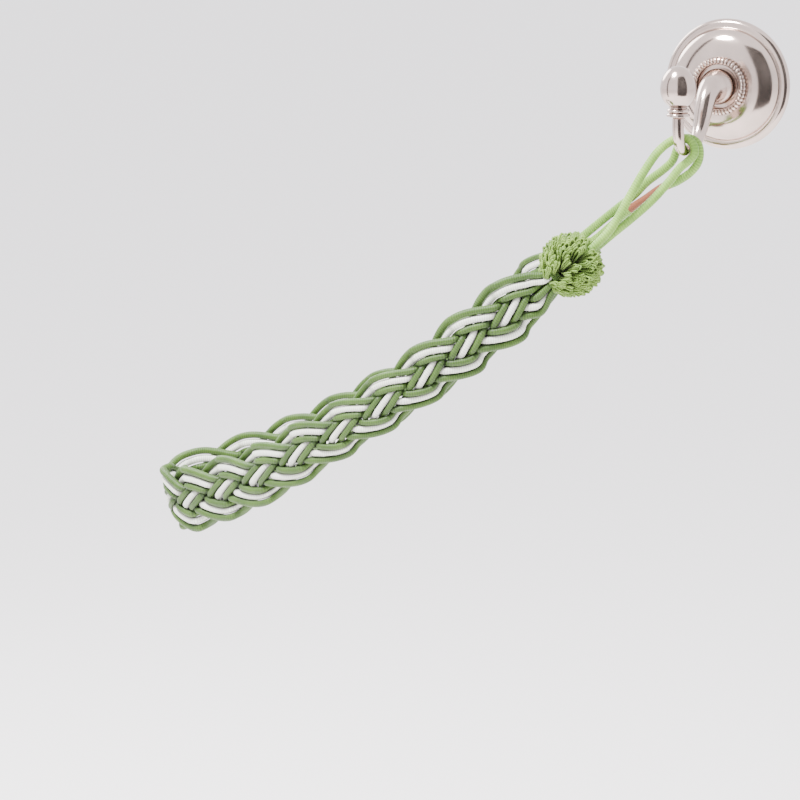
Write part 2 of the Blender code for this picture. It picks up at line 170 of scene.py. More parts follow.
# their routes over the hook's low rod and back, mm
FRONT_LOOP = [
    (-29.6, -88.4, -66.0), (-25.8, -84.4, -58.8), (-21.3, -80.2, -48.4), (-15.9, -75.0, -36.4),
    (-11.0, -69.6, -27.4), (-7.0, -65.8, -23.2), (-3.2, -64.3, -21.2), (1.2, -64.2, -21.0),
    (5.0, -64.2, -23.6), (5.9, -64.3, -28.0), (2.6, -64.4, -32.0), (-1.4, -64.8, -35.4),
    (-6.0, -67.4, -42.0), (-13.6, -72.6, -51.8), (-22.0, -78.6, -60.4), (-28.6, -83.2, -66.6),
]
BACK_LOOP = [
    (-49.4, -48.8, -66.4), (-38.9, -51.4, -58.4), (-29.6, -53.5, -51.4), (-22.3, -55.0, -44.4),
    (-13.0, -56.9, -37.6), (-8.0, -57.9, -33.0), (-5.8, -58.2, -28.0), (-3.8, -58.2, -23.4),
    (0.4, -58.2, -21.4), (4.8, -58.2, -23.6), (6.2, -58.2, -27.8), (5.4, -58.2, -33.0),
    (1.8, -58.2, -37.9), (-5.4, -58.0, -42.9), (-13.8, -56.6, -46.6), (-22.4, -55.0, -52.4),
    (-31.5, -53.2, -58.4), (-39.6, -51.4, -65.0), (-50.2, -48.8, -73.8),
]
COPPER_FROM = (-9.0, -57.3, -44.6)     # the back loop's undyed stretch, mm
COPPER_TO = (-31.5, -53.2, -58.4)

# ---------------------------------------------------------------- pompom
POM_CENTRE = (-46.6, -93.1, -82.0)     # mm
POM_FACE = (0.41, -0.90, 0.17)    # the side on which the two lobes part
POM_R = 15.4 * MM
POM_CORE = 6.6 * MM
POM_BUNDLES = 230
POM_IN_BUNDLE = 3
POM_PITCH = 1.05 * MM             # spacing of the loops in a bundle
POM_THREAD = 0.46 * MM
POM_PAINTED_SHADE_FROM = 0.46                   # deeper than this share of the radius the loops get painted shade
POM_GROOVE = 0.13                 # half the groove between the lobes, a sine
POM_FACE_SIDE = 0.35              # the groove lies where a loop's way has this share of the face's
POM_GROOVE_END = 0.62             # and less than this share of the crease's direction
POM_BARE_NECK = 0.88              # no loops nearer than this to the neck
POM_BARE_LOOP = 0.93              # or to the hanger loop
POM_STRAY = 0.05                  # how much a bundle's direction strays
POM_ROOTS = (0.72, 0.30, 0.15)    # the crease's ends from the centre, shares of the radius
POM_REACH = (0.93, 1.03)          # a loop's reach, a share of the radius
POM_WIDE = (0.85, 1.25)           # and its half width, mm
POM_LEAN = 0.45                   # how much a bundle's plane leans
POM_SHARE_STRAY = 0.10            # how much its root strays along the crease
POM_ROOT_STRAY = 0.25 * MM        # and a single loop's about it
POM_SWELL = 0.30                  # how far a loop bows outward, a share of its length
POM_SIDES = 5
POM_SPAN = 2                      # line points between two points of a loop's outline
POM_THREAD_SPREAD = (0.88, 1.12)
POM_CORE_RINGS = 25
POM_CORE_SIDES = 20
POM_SEED = 11
# a loop's outline: how far out, and how wide there
POM_LOOP = ((0.0, 0.35), (0.35, 0.5), (0.66, 0.8), (0.88, 1.0), (0.98, 0.66), (1.03, 0.0))

# ---------------------------------------------------------------- hook
# turned about the -Y axis: (radius, height above the flat back), mm
ROSETTE = [
    (0.0, 0.0), (31.0, 0.0), (32.5, 1.5), (32.5, 3.4), (31.2, 5.0), (29.2, 5.4), (28.2, 5.2),
    (27.8, 6.4), (26.8, 8.6), (24.6, 10.9), (21.6, 12.6), (18.4, 13.6), (15.0, 13.9), (0.0, 13.9),
]
COLLAR = [(10.6, 14.2), (14.0, 14.2), (14.6, 15.4), (14.2, 17.4), (12.6, 18.2), (11.0, 17.4)]
# the arm's middle line and its radius at each point: (Y, Z, radius), mm
ARM_ROUTE = [
    (-14.2, 0.0, 9.0), (-16.5, 0.0, 9.0), (-19.0, 0.0, 8.8), (-23.0, 0.0, 7.4), (-28.0, -0.8, 6.0),
    (-32.6, -4.0, 5.1), (-36.4, -9.4, 4.5), (-39.4, -15.4, 4.0), (-43.0, -20.8, 3.5),
    (-48.0, -25.0, 3.1), (-54.0, -27.2, 2.8), (-60.0, -27.6, 2.8), (-65.6, -26.6, 2.8),
    (-69.9, -22.8, 2.8), (-71.7, -16.8, 2.8), (-72.0, -10.2, 2.8),
]
# turned about the vertical: (radius, height above its underside), mm
FINIAL = [
    (0.0, 0.0), (5.5, 0.0), (5.8, 1.0), (5.2, 1.9), (4.2, 2.2), (5.2, 2.5), (5.6, 3.3), (4.8, 4.2),
    (3.8, 4.6), (6.6, 6.6), (8.6, 10.2), (9.0, 14.0), (8.2, 18.4), (5.8, 22.4), (2.8, 24.4),
    (0.0, 24.9),
]
FINIAL_BASE = (-72.0, -9.9)       # Y and Z of the finial's underside
FLAT_BACK = 30.9                  # radius to which the rosette's back stays flat, mm
AXIS_GAP = 0.05                   # radius of the first and last row of a turned piece, mm
ROSETTE_STEPS = 160               # flats round each turned piece
RING_STEPS = 528
FINIAL_STEPS = 96
ARM_SIDES = 32
ARM_RING = 0.8 * MM
ARM_SPAN = 8
ARM_EASE = 2
CORNER = 0.25                     # share of a side that is cut off at each corner
RING_TEETH = 44
TOOTH_IN = 0.7                    # depth of the slots between the teeth, from the rim
TOOTH_DEEP = 1.5                  # and from the face
TOOTH_RIM = (11.4, 0.8)           # radius where the slots start, and over which they deepen
TOOTH_FACE = (14.6, 1.4)          # and the same for the height

# ---------------------------------------------------------------- colours
# the darkest colour of each yarn below is painted shade, for the wrapping's grooves, the creases
# between cords and the pompom's inside
GREEN = (0.021, 0.058, 0.0024)
GREEN_PAINTED_SHADE = (0.004, 0.012, 0.0008)
GREEN_PALE = (0.085, 0.180, 0.011)
IVORY = (0.660, 0.690, 0.600)
IVORY_PAINTED_SHADE = (0.330, 0.340, 0.260)
IVORY_PALE = (0.860, 0.860, 0.780)
POM = (0.078, 0.168, 0.013)
POM_PAINTED_SHADE = (0.014, 0.036, 0.004)
POM_PALE = (0.330, 0.510, 0.080)
# the hanger cord's own green, lightened all through as painted light for the bright light round the
# hook
HANGER_LIT_GREEN = (0.095, 0.225, 0.017)
HANGER_PAINTED_SHADE = (0.030, 0.078, 0.007)
HANGER_LIT_PALE = (0.290, 0.490, 0.080)
COPPER = (0.170, 0.048, 0.017)
NICKEL = (0.590, 0.470, 0.415)
NICKEL_CLOUD = (0.450, 0.360, 0.320)
FLOOR = (0.93, 0.90, 0.89)
CARD = (0.02, 0.02, 0.02)
WORLD = (0.95, 0.95, 1.0)

# ---------------------------------------------------------------- yarn and metal
ALONG_GRAIN = 34.0                # how fine the fibre's streaks are, along the cord and around it
AROUND_GRAIN = 3.0
PATCH_GRAIN = 90.0                # and the slow patches of colour
FIBRE_GRAIN = 2600.0              # and the single fibres
PALE_SHARE = 0.45                 # the most that a streak takes of the pale colour
CREASE_SHADE = 0.35               # the painted crease shade's colour, a share of the cord's painted shade colour
YARN_RELIEF = 0.00018             # depth of the fine relief, m
YARN_SHINE = 0.45
SHEEN_ROUGH = 0.4
CLOUD_GRAIN = 60.0
POLISH_GRAIN = 900.0
DENT_GRAIN = 140.0
METAL_RELIEF = (0.12, 0.0002)     # strength and depth of its faint dents

# ---------------------------------------------------------------- studio
FLOOR_HALF = 20.0
FLOOR_LEVEL = -0.62
MATT = 0.9
WORLD_STRENGTH = 2.5
LAMP_AIM = (-0.14, -0.07, -0.11)
# name, place, size and power
LAMPS = [
    ("key", (-0.50, -0.80, 1.45), 0.50, 125.0),
    ("fill", (1.30, -1.10, 0.55), 1.20, 8.0),
    ("rim", (-1.20, 0.60, 0.60), 0.80, 20.0),
]

# dark cards seen only in the metal: name, bearing in degrees, half its width, its low and high edge
CARDS = [
    ("right_card", 44.0, 0.60, -1.10, 1.35),
    ("left_card", -50.0, 0.08, -0.60, 1.20),
]
CARD_AWAY = 1.0                   # their distance from the origin


def camera():
    data = bpy.data.cameras.new("camera")
    data.lens = CAMERA_LENS
    data.sensor_width = CAMERA_SENSOR
    data.clip_start = CAMERA_NEAR
    data.clip_end = CAMERA_FAR
    cam = bpy.data.objects.new("camera", data)
    bpy.context.scene.collection.objects.link(cam)
    cam.location = CAMERA_AT
    back = Vector((
        math.sin(CAMERA_TURN) * math.cos(CAMERA_DIP),
        -math.cos(CAMERA_TURN) * math.cos(CAMERA_DIP),
        math.sin(CAMERA_DIP),
    ))
    cam.rotation_mode = "QUATERNION"
    cam.rotation_quaternion = (-back).to_track_quat("-Z", "Y")
    bpy.context.scene.camera = cam


# ---------------------------------------------------------------- node materials
class Nodes:
    """Short calls for building a material's nodes."""

    def __init__(self, name):
        self.mat = bpy.data.materials.new(name)
        self.mat.use_nodes = True
        self.tree = self.mat.node_tree
        self.shader = self.tree.nodes["Principled BSDF"]

    def node(self, kind, **settings):
        made = self.tree.nodes.new(kind)
        for key, value in settings.items():
            setattr(made, key, value)
        return made

    def link(self, out, into):
        self.tree.links.new(out, into)

    def math(self, operation, a, b=0.0):
        made = self.node("ShaderNodeMath", operation=operation)
        for socket, value in zip(made.inputs, (a, b)):
            if isinstance(value, (int, float)):
                socket.default_value = value
            else:
                self.link(value, socket)
        return made.outputs[0]

    def mix(self, factor, a, b):
        made = self.node("ShaderNodeMix", data_type="RGBA")
        for socket, value in ((made.inputs[0], factor), (made.inputs[6], a), (made.inputs[7], b)):
            if isinstance(value, tuple):
                socket.default_value = (*value, 1.0)
            elif isinstance(value, (int, float)):
                socket.default_value = value
            else:
                self.link(value, socket)
        return made.outputs[2]

    def noise(self, vector, scale, detail=2.0):
        made = self.node("ShaderNodeTexNoise")
        made.inputs["Scale"].default_value = scale
        made.inputs["Detail"].default_value = detail
        self.link(vector, made.inputs["Vector"])
        return made.outputs[0]

    def spread(self, value, low, high):
        made = self.node("ShaderNodeMapRange")
        self.link(value, made.inputs["Value"])
        made.inputs["From Min"].default_value = low
        made.inputs["From Max"].default_value = high
        return made.outputs[0]

    def join(self, x, y, z=0.0):
        made = self.node("ShaderNodeCombineXYZ")
        for socket, value in zip(made.inputs, (x, y, z)):
            if isinstance(value, (int, float)):
                socket.default_value = value
            else:
                self.link(value, socket)
        return made.outputs[0]


def yarn(name, painted_shade_colour, mid, pale, pitch, starts=1, rough=0.55, sheen=0.06, bump=0.6, groove_painted_shade=0.5,
         stain=None):
    """Wrapped or twisted yarn with painted shade in its grooves and where its sides press on other
    cords.

    U runs along the cord in centimetres, V once around it, and pitch is in mm.  The stain is a
    colour with the two distances along the cord between which it shows.
    """
    n = Nodes(name)
    uv = n.node("ShaderNodeUVMap", uv_map="along")
    parts = n.node("ShaderNodeSeparateXYZ")
    n.link(uv.outputs[0], parts.inputs[0])
    along, around = parts.outputs[0], parts.outputs[1]
    turns = n.math("MULTIPLY", along, 10.0 / pitch)
    turns = n.math("ADD", turns, n.math("MULTIPLY", around, starts))
    ridge = n.math("SINE", n.math("MULTIPLY", turns, math.tau))
    ridge = n.math("ADD", n.math("MULTIPLY", ridge, 0.5), 0.5)
    streak = n.join(n.math("MULTIPLY", along, ALONG_GRAIN), n.math("MULTIPLY", around, AROUND_GRAIN))
    strand = n.noise(streak, 1.0, 3.0)
    coords = n.node("ShaderNodeTexCoord").outputs["Object"]
    patch = n.spread(n.noise(coords, PATCH_GRAIN), 0.32, 0.68)
    fibre = n.noise(coords, FIBRE_GRAIN, 3.0)
    body = n.mix(patch, mid, tuple(0.5 * a + 0.5 * b for a, b in zip(mid, pale)))
    body = n.mix(n.math("MULTIPLY", n.spread(strand, 0.25, 0.75), PALE_SHARE), body, pale)
    # painted shade in the grooves between the turns of the wrapping
    body = n.mix(n.math("MULTIPLY", n.math("SUBTRACT", 1.0, ridge), groove_painted_shade), body, painted_shade_colour)
    # painted shade where another cord lies close against a side, and deep inside the pompom
    painted_shade_mask = n.node("ShaderNodeAttribute", attribute_name="painted_shade").outputs["Fac"]
    dark = tuple(CREASE_SHADE * a for a in painted_shade_colour)
    body = n.mix(n.math("MULTIPLY", painted_shade_mask, PAINTED_CREASE_SHADE), body, dark)
    if stain is not None:
        colour, first, last = stain
        after = n.math("GREATER_THAN", along, first)
        on = n.math("MULTIPLY", after, n.math("LESS_THAN", along, last))
        body = n.mix(on, body, colour)
    n.link(body, n.shader.inputs["Base Color"])
    height = n.math("ADD", n.math("MULTIPLY", ridge, 0.6), n.math("MULTIPLY", strand, 0.5))
    height = n.math("ADD", height, n.math("MULTIPLY", fibre, 0.35))
    relief = n.node("ShaderNodeBump")
    relief.inputs["Strength"].default_value = bump
    relief.inputs["Distance"].default_value = YARN_RELIEF
    n.link(height, relief.inputs["Height"])
    n.link(relief.outputs[0], n.shader.inputs["Normal"])
    rough_mix = n.math("ADD", n.math("MULTIPLY", strand, 0.2), rough - 0.1)
    n.link(rough_mix, n.shader.inputs["Roughness"])
    n.shader.inputs["Sheen Weight"].default_value = sheen
    n.shader.inputs["Sheen Roughness"].default_value = SHEEN_ROUGH
    n.shader.inputs["Specular IOR Level"].default_value = YARN_SHINE
    n.mat.diffuse_color = (*mid, 1.0)
    return n.mat


def metal(name):
    """Polished nickel with a warm cast, faint polishing marks and a cloudy patina."""
    n = Nodes(name)
    coords = n.node("ShaderNodeTexCoord").outputs["Object"]
    cloud = n.spread(n.noise(coords, CLOUD_GRAIN, 4.0), 0.3, 0.7)
    fine = n.noise(coords, POLISH_GRAIN, 2.0)
    n.link(n.mix(cloud, NICKEL, NICKEL_CLOUD), n.shader.inputs["Base Color"])
    n.shader.inputs["Metallic"].default_value = 1.0
    rough = n.math("ADD", n.math("MULTIPLY", cloud, 0.07), 0.09)
    n.link(n.math("ADD", rough, n.math("MULTIPLY", fine, 0.05)), n.shader.inputs["Roughness"])
    relief = n.node("ShaderNodeBump")
    relief.inputs["Strength"].default_value, relief.inputs["Distance"].default_value = METAL_RELIEF
    n.link(n.noise(coords, DENT_GRAIN, 3.0), relief.inputs["Height"])
    n.link(relief.outputs[0], n.shader.inputs["Normal"])
    n.mat.diffuse_color = (*NICKEL, 1.0)
    return n.mat


# ---------------------------------------------------------------- curves
def smooth_route(points, per_span=12):
    """Centripetal curve through given points, sampled finely."""
    pts = np.array(points, float)
    pts = np.vstack([2 * pts[0] - pts[1], pts, 2 * pts[-1] - pts[-2]])
    out = []
    for i in range(1, len(pts) - 2):
        p0, p1, p2, p3 = pts[i - 1:i + 3]
        t1 = np.linalg.norm(p1 - p0) ** 0.5
        t2 = t1 + np.linalg.norm(p2 - p1) ** 0.5
        t3 = t2 + np.linalg.norm(p3 - p2) ** 0.5
        for t in np.linspace(t1, t2, per_span, endpoint=False):
            a1 = (t1 - t) / t1 * p0 + t / t1 * p1
            a2 = (t2 - t) / (t2 - t1) * p1 + (t - t1) / (t2 - t1) * p2
            a3 = (t3 - t) / (t3 - t2) * p2 + (t - t2) / (t3 - t2) * p3
            b1 = (t2 - t) / t2 * a1 + t / t2 * a2
            b2 = (t3 - t) / (t3 - t1) * a2 + (t - t1) / (t3 - t1) * a3
            out.append((t2 - t) / (t2 - t1) * b1 + (t - t1) / (t2 - t1) * b2)
    out.append(pts[-2])
    return np.array(out)


def lengths(line):
    return np.concatenate([[0.0], np.cumsum(np.linalg.norm(np.diff(line, axis=0), axis=1))])


def resample(line, step, extra=None):
    """The line's points at an even spacing, with a value per point carried along."""
    s = lengths(line)
    even = np.linspace(0.0, s[-1], max(2, int(round(s[-1] / step)) + 1))
    out = np.stack([np.interp(even, s, line[:, i]) for i in range(3)], 1)
    if extra is None:
        return out
    return out, np.interp(even, s, extra)


def relaxed(line, rounds):
    """Takes small kinks out of a line, ends kept."""
    line = line.copy()
    for _ in range(rounds):
        line[1:-1] = 0.25 * line[:-2] + 0.5 * line[1:-1] + 0.25 * line[2:]
    return line


def frames(line):
    """Two directions square to the line at each point, carried along without twisting."""
    tangent = np.gradient(line, axis=0)
    tangent /= np.linalg.norm(tangent, axis=1)[:, None]
    first = np.cross(tangent[0], (0.0, 0.0, 1.0))
    if np.linalg.norm(first) < 0.1:
        first = np.cross(tangent[0], (1.0, 0.0, 0.0))
    side = np.empty_like(line)
    side[0] = first / np.linalg.norm(first)
    for i in range(1, len(line)):
        v = side[i - 1] - tangent[i] * (side[i - 1] @ tangent[i])
        side[i] = v / np.linalg.norm(v)
    return side, np.cross(tangent, side)


def along_band(u, values):
    """A value that changes along the band, from its pairs of distance in mm and value."""
    at, value = np.array(values).T
    return np.mean([np.interp(u + d, at * MM, value) for d in SOFT_STEPS], 0)


class Band:
    """The flat band wrapped on an upright sheet that follows the route seen from above."""

    def __init__(self, route):
        line = smooth_route(route) * MM
        step = np.diff(line, axis=0)
        flat = np.hypot(step[:, 0], step[:, 1])
        self.h = np.concatenate([[0.0], np.cumsum(flat)])
        self.u = np.concatenate([[0.0], np.cumsum(np.linalg.norm(step, axis=1))])
        self.line = line
        self.length = self.u[-1]
        self.turn = self.h[np.argmin(line[:, 0])]

    def plan(self, h):
        inside = np.clip(h, 0.0, self.h[-1])
        x = np.interp(inside, self.h, self.line[:, 0])
        y = np.interp(inside, self.h, self.line[:, 1])
        first = self.along(0.0)
        last = self.along(self.h[-1])
        over = np.maximum(h - self.h[-1], 0.0)
        under = np.minimum(h, 0.0)
        return x + over * last[0] + under * first[0], y + over * last[1] + under * first[1]

    def along(self, h):
        a = np.clip(h - PLAN_REACH, 0.0, self.h[-1])
        b = np.clip(h + PLAN_REACH, 0.0, self.h[-1])
        x = np.interp(b, self.h, self.line[:, 0]) - np.interp(a, self.h, self.line[:, 0])
        y = np.interp(b, self.h, self.line[:, 1]) - np.interp(a, self.h, self.line[:, 1])
        size = np.hypot(x, y)
        return x / size, y / size

    def place(self, u, across, over):
        share = along_band(u, SHARE)
        across, over = across * share, over * share
        radius = along_band(u, CURL) * MM
        curl = np.minimum(across, 0.0) / radius
        across = np.maximum(across, 0.0) + (over + radius) * np.sin(curl)
        over = (over + radius) * np.cos(curl) - radius
        h = np.interp(u, self.u, self.h)
        z = np.interp(u, self.u, self.line[:, 2])
        reach = SLOPE_REACH
        rise = self.line[:, 2]
        h2 = np.interp(u + reach, self.u, self.h) - np.interp(u - reach, self.u, self.h)
        z2 = np.interp(u + reach, self.u, rise) - np.interp(u - reach, self.u, rise)
        slope = np.arctan2(z2, h2)
        past = np.maximum(u - self.length, 0.0) + np.minimum(u, 0.0)
        h = h + past * np.cos(slope) - across * np.sin(slope)
        z = z + past * np.sin(slope) + across * np.cos(slope)
        x, y = self.plan(h)
        tx, ty = self.along(h)
        lean = LEAN * np.exp(-((h - self.turn) / LEAN_REACH) ** 2)
        out = over * np.cos(lean) + across * np.sin(lean)
        return np.stack([x + ty * out, y - tx * out, z - over * np.sin(lean)], 1)


def middle_state(x, turns):
    """The middle cord's way along and across at its phase x; turns is the strand's start."""
    along = (x - turns) * 4 * QUARTER / math.tau - SLIDE * np.sin(2 * x)
    across = SWING * np.sin(x) + SWING_FLAT * np.sin(3 * x)
    return np.stack([along, across], -1)


def braid_state(x, strand, side):
    """Where a cord lies in the band: along, across and over, for the cord at side -1, 0 or 1."""
    turns = strand * math.pi / 2
    way = middle_state(x + SMALL, turns) - middle_state(x - SMALL, turns)
    way = way / np.linalg.norm(way, axis=-1, keepdims=True)
    flat = middle_state(x, turns)
    where = (flat[..., 0] - TUCK_AT) / TUCK_REACH
    tuck = np.maximum(-np.sin(x), 0.0) ** 4 * np.exp(-where ** 4)
    beside = side * (SPREAD + SPREAD_WAVE * np.cos(2 * x)) * (1.0 - TUCK_CLOSE * tuck)
    along = flat[..., 0] - way[..., 1] * beside
    across = flat[..., 1] + way[..., 0] * beside
    shifted = x + RISE_SHEAR * side * np.cos(x)
    over = np.cos(shifted) * (np.cos(2 * shifted) - RISE_ZERO)
    over = RISE * over / np.sqrt(over ** 2 + RISE_EASE ** 2)
    if side == 0:
        over = over * RISE_MIDDLE - TUCK * tuck
    return np.stack([along, across, over], -1)


def neck_slots(u_end):
    """Each cord's place in the neck: sorted across into four columns, then by height in each."""
    ends = []
    for strand in range(4):
        for side in (-1, 0, 1):
            x = u_end * math.tau / (4 * QUARTER) + strand * math.pi / 2
            ends.append(((strand, side), braid_state(x, strand, side)))
    ends.sort(key=lambda item: item[1][1])
    slots = {}
    for column in range(4):
        group = sorted(ends[3 * column:3 * column + 3], key=lambda item: item[1][2])
        for row, (cord, _) in enumerate(group):
            slots[cord] = ((column - 1.5) * NECK_PITCH, (row - 1) * NECK_PITCH)
    return slots


def cord_line(band, strand, side, slots_back, slots_front):
    """A cord's whole way with its full radius at each point."""
    half = band.length / 2
    start = GATHER + NECK
    stop = band.length - GATHER - NECK
    u = np.linspace(start - half, stop - half, int((stop - start) / LINE_STEP))
    x = u * math.tau / (4 * QUARTER) + strand * math.pi / 2
    state = braid_state(x, strand, side)
    state[:, 0] += along_band(state[:, 0] + half, DRIFT) * MM
    parts = []
    for i, end, sign, slots in ((0, start, -1, slots_back), (-1, stop, 1, slots_front)):
        here = state[i]
        near = braid_state(x[i] + sign * SMALL, strand, side)
        run = (near - here)[1:] / np.linalg.norm(near - here) * GATHER * RUN_ON
        slot = np.array(slots[(strand, side)])
        rows = []
        for t in GATHER_STOPS:
            h00 = 2 * t ** 3 - 3 * t ** 2 + 1
            h10 = t ** 3 - 2 * t ** 2 + t
            place = h00 * here[1:] + h10 * run + (1 - h00) * slot
            first = here[0] + half
            last = end + sign * GATHER
            rows.append((first + (last - first) * t, *place))
        for t in NECK_STOPS:
            rows.append((end + sign * (GATHER + NECK * t), *slot))
        parts.append(np.array(rows))
    state[:, 0] += half
    whole = np.vstack([parts[0][::-1], state, parts[1]])
    edge = np.minimum(whole[:, 0], band.length - whole[:, 0]) / (GATHER + NECK)
    full = NECK_R + (CORD_R - NECK_R) * np.clip(edge * FULL_SLOPE + FULL_FROM, 0.0, 1.0)
    full = full * along_band(whole[:, 0], SHARE)
    line = band.place(whole[:, 0], whole[:, 1], whole[:, 2])
    line, full = resample(line, RING, full)
    return relaxed(line, LINE_EASE), full


# ---------------------------------------------------------------- meshes
def mesh_object(name, points, faces, mat, uvs=None, smooth=True, painted_shade=None):
    mesh = bpy.data.meshes.new(name)
    mesh.from_pydata(points.tolist() if hasattr(points, "tolist") else points, [], faces)
    if uvs is not None:
        layer = mesh.uv_layers.new(name="along")
        layer.data.foreach_set("uv", np.asarray(uvs, float).ravel())
    if painted_shade is not None:
        mesh.attributes.new("painted_shade", "FLOAT", "POINT").data.foreach_set("value", painted_shade.ravel())
    mesh.polygons.foreach_set("use_smooth", [smooth] * len(mesh.polygons))
    mesh.update()
    mesh.materials.append(mat)
    obj = bpy.data.objects.new(name, mesh)
    bpy.context.scene.collection.objects.link(obj)
    return obj


def skin_arrays(line, side, up, radii, u, offset=0):
    """Points, quads and loop UVs of a tube; radii has a value for each ring and direction."""
    rings, sides = radii.shape
    angle = np.arange(sides) / sides * math.tau
    way = np.cos(angle)[None, :, None] * side[:, None, :]
    way = way + np.sin(angle)[None, :, None] * up[:, None, :]
    points = (line[:, None, :] + way * radii[:, :, None]).reshape(-1, 3)
    i, k = np.meshgrid(np.arange(rings - 1), np.arange(sides), indexing="ij")
    after = (k + 1) % sides
    a, b = i * sides + k, i * sides + after
    c, d = (i + 1) * sides + after, (i + 1) * sides + k
    quads = np.stack([a, b, c, d], -1).reshape(-1, 4) + offset
    v0, v1 = k / sides, (k + 1) / sides
    uv = np.stack([
        np.stack([u[i], v0], -1), np.stack([u[i], v1], -1),
        np.stack([u[i + 1], v1], -1), np.stack([u[i + 1], v0], -1),
    ], 2).reshape(-1, 2)
    caps = [list(range(offset + sides - 1, offset - 1, -1)),
            list(range(offset + (rings - 1) * sides, offset + rings * sides))]
    cap_uv = np.array([(u[0], 0.5)] * sides + [(u[-1], 0.5)] * sides)
    faces = quads.tolist() + caps
    return points, faces, np.vstack([uv, cap_uv])


def skin(name, line, side, up, radii, u, mat, painted_shade=None):
    points, faces, uvs = skin_arrays(line, side, up, radii, u)
    return mesh_object(name, points, faces, mat, uvs, True, painted_shade)


def wrap(radii, u, pitch, depth, starts, seed):
    """Raises the ridges of the wrapping yarn, uneven from turn to turn."""
    rings, sides = radii.shape
    angle = np.arange(sides) / sides
    rng = np.random.default_rng(seed)
    turns = u[:, None] * 10.0 / pitch + starts * angle[None, :]
    knots = np.arange(0.0, u[-1] + 1.0, SWELL_STEP)
    swell = np.interp(u, knots, rng.uniform(-1.0, 1.0, len(knots)))
    strength = np.interp(u, knots, rng.uniform(RIDGE_LEAST, 1.0, len(knots)))
    ridge = depth * strength[:, None] * np.sin(math.tau * turns) + WRAP_SWELL * swell[:, None]
    return radii * (1.0 + ridge)


def rounded_ends(radii, line, full):
    """Draws the first and last rings in, so that a cut end is domed."""
    s = lengths(line)
    left = np.minimum(s, s[-1] - s)
    dome = np.sqrt(np.clip(1.0 - (1.0 - np.clip(left / full, 0.0, 1.0)) ** 2, 0.02, 1.0))
    return radii * dome[:, None]


def pressed(lines, fulls):
    """Each cord's radii at every coarse ring, stopped half way to the cords it presses on, and the
    painted shade on each side.
    """
    coarse = [line[::COARSE] for line in lines]
    total = sum(len(c) for c in coarse)
    tree = KDTree(total)
    owner = np.empty(total, int)
    place = np.empty((total, 3))
    index = 0
    for number, line in enumerate(coarse):
        for point in line:
            tree.insert(point, index)
            owner[index] = number
            place[index] = point
            index += 1
    tree.balance()
    angle = np.arange(CORD_SIDES) / CORD_SIDES * math.tau
    out = []
    for number, (line, full) in enumerate(zip(lines, fulls)):
        side, up = frames(line)
        rows, shade_rows = [], []
        for i, point in enumerate(coarse[number]):
            j = i * COARSE
            radius = full[j]
            free = np.full(CORD_SIDES, radius)
            close = np.full(CORD_SIDES, PAINTED_SHADE_REACH)
            near = [hit[1] for hit in tree.find_range(point, PRESS_SEEK * radius)]
            near = [k for k in near if owner[k] != number]
            if near:
                toward = place[near] - point
                way = np.cos(angle)[:, None] * side[j] + np.sin(angle)[:, None] * up[j]
                reach = np.maximum(way @ toward.T, 1e-6)
                limit = ((toward ** 2).sum(1)[None, :] / (2.0 * reach)).min(1) - PRESS_GAP
                close = np.minimum(limit / radius, PAINTED_SHADE_REACH)
                limit = np.maximum(limit, PRESS_LEAST * radius)
                free = (free ** -PRESS_SOFT + limit ** -PRESS_SOFT) ** (-1.0 / PRESS_SOFT)
            rows.append(free)
            # painted shade on each side, strongest where another cord lies closest
            shade_rows.append((PAINTED_SHADE_REACH - close) / (PAINTED_SHADE_REACH - 1.0))
        soft = np.array(rows)
        dark = np.clip(np.array(shade_rows), 0.0, 1.0)
        for _ in range(PRESS_EASE):
            soft[1:-1] = 0.25 * soft[:-2] + 0.5 * soft[1:-1] + 0.25 * soft[2:]
            soft = 0.1 * np.roll(soft, 1, 1) + 0.8 * soft + 0.1 * np.roll(soft, -1, 1)
            dark[1:-1] = 0.25 * dark[:-2] + 0.5 * dark[1:-1] + 0.25 * dark[2:]
        at = np.arange(len(line)) / COARSE
        steps = np.arange(len(soft))
        fine = np.stack([np.interp(at, steps, soft[:, k]) for k in range(CORD_SIDES)], 1)
        dark = np.stack([np.interp(at, steps, dark[:, k]) for k in range(CORD_SIDES)], 1)
        out.append((side, up, fine, dark))
    return out


# ---------------------------------------------------------------- pieces
def braid(band, green, ivory):
    half = band.length / 2
    back = neck_slots(GATHER + NECK - half)
    front = neck_slots(band.length - GATHER - NECK - half)
    names, lines, fulls, mats = [], [], [], []
    for strand in range(4):
        for side, word in ((-1, "lower"), (0, "ivory"), (1, "upper")):
            line, full = cord_line(band, strand, side, back, front)
            names.append(f"braid_cord_{strand + 1}_{word}")
            lines.append(line)
            fulls.append(full)
            mats.append(ivory if side == 0 else green)
    shapes = pressed(lines, fulls)
    for seed, (name, line, full, mat, shape) in enumerate(zip(names, lines, fulls, mats, shapes)):
        side, up, radii, painted_shade = shape
        u = lengths(line) * 100.0
        depth = IVORY_WRAP_DEPTH if mat is ivory else WRAP_DEPTH
        radii = wrap(radii, u, WRAP_PITCH, depth, 1, seed)
        radii = rounded_ends(radii, line, full)
        obj = skin("wrapped_" + name, line, side, up, radii, u, mat, painted_shade)
        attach(obj, "root")
        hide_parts(name)


